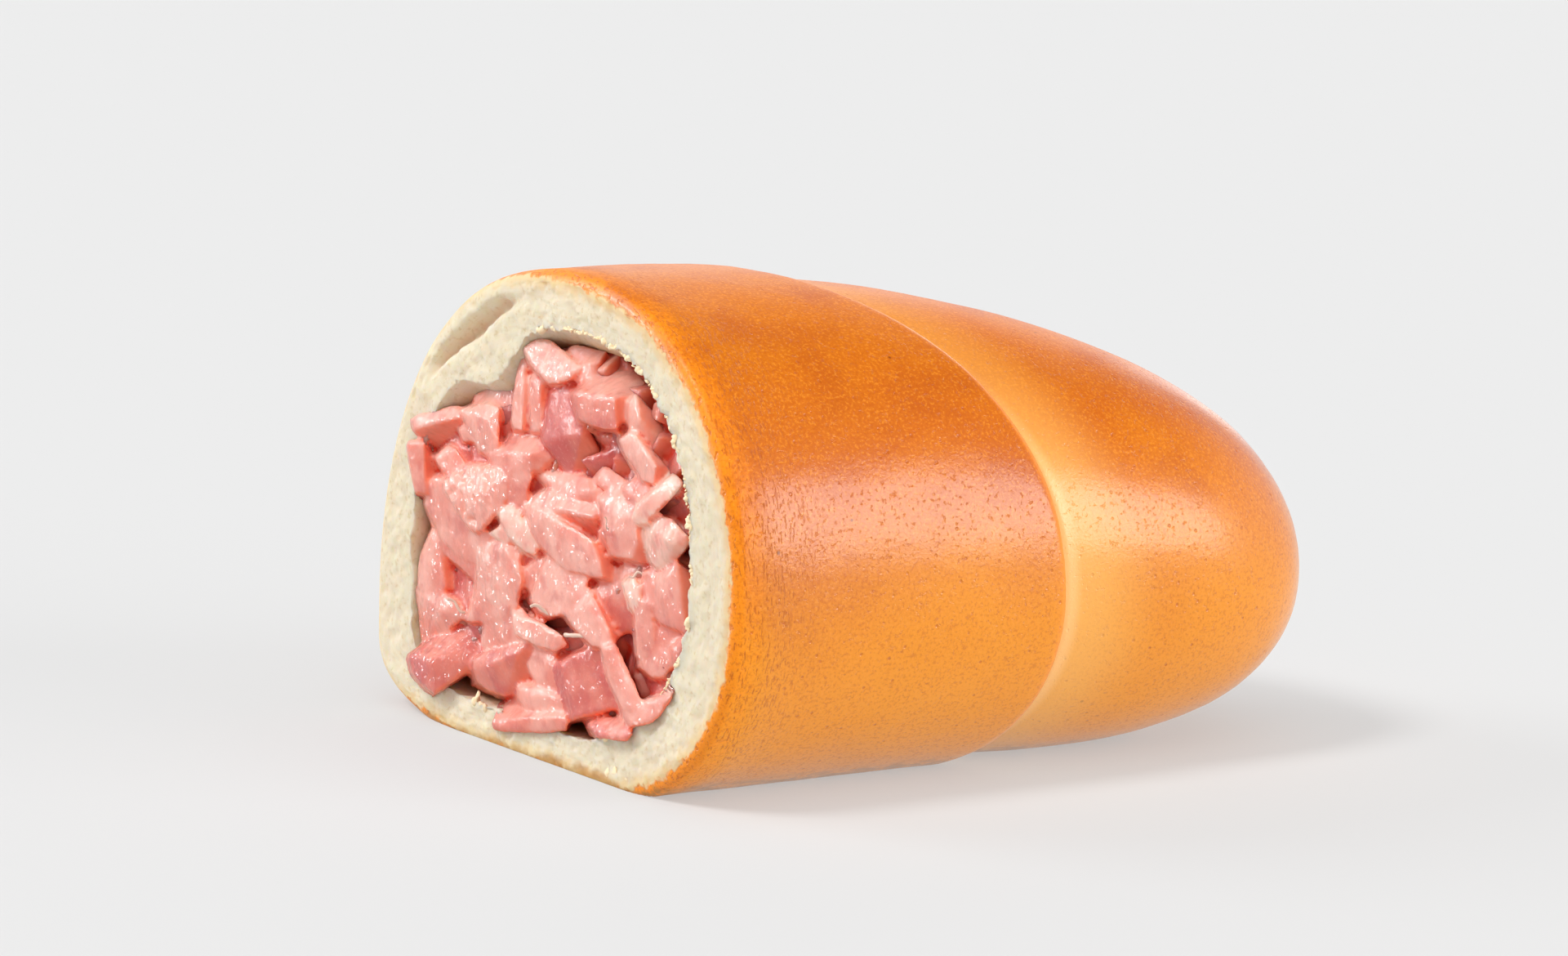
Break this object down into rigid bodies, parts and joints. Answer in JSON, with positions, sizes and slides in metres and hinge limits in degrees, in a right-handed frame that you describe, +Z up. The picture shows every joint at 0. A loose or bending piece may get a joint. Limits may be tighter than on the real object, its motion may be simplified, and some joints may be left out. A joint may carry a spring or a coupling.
{
  "type": "ham-filled roll",
  "caption": "Half of a soft crescent roll, cut across the middle, with a glazed crust, a wrapped seam and a hollow packed with diced cooked ham.",
  "frame": {"origin": "middle of the bounding box on the surface that the roll rests on", "axes": "+Z up, +X along the roll from the cut face to the tip, so the cut looks towards -X; the tip bends towards -Y"},
  "size_m": [0.084, 0.0792, 0.0545],
  "materials": {
    "bread": "egg-washed golden crust outside, pale soft crumb on the cut face and in the hollow",
    "ham": "moist cooked ham in cut dice, pink with a few pale fat strips"
  },
  "bodies": {
    "root": {"bread_roll": "bread", "ham_filling": "ham"}
  },
  "joints": []
}
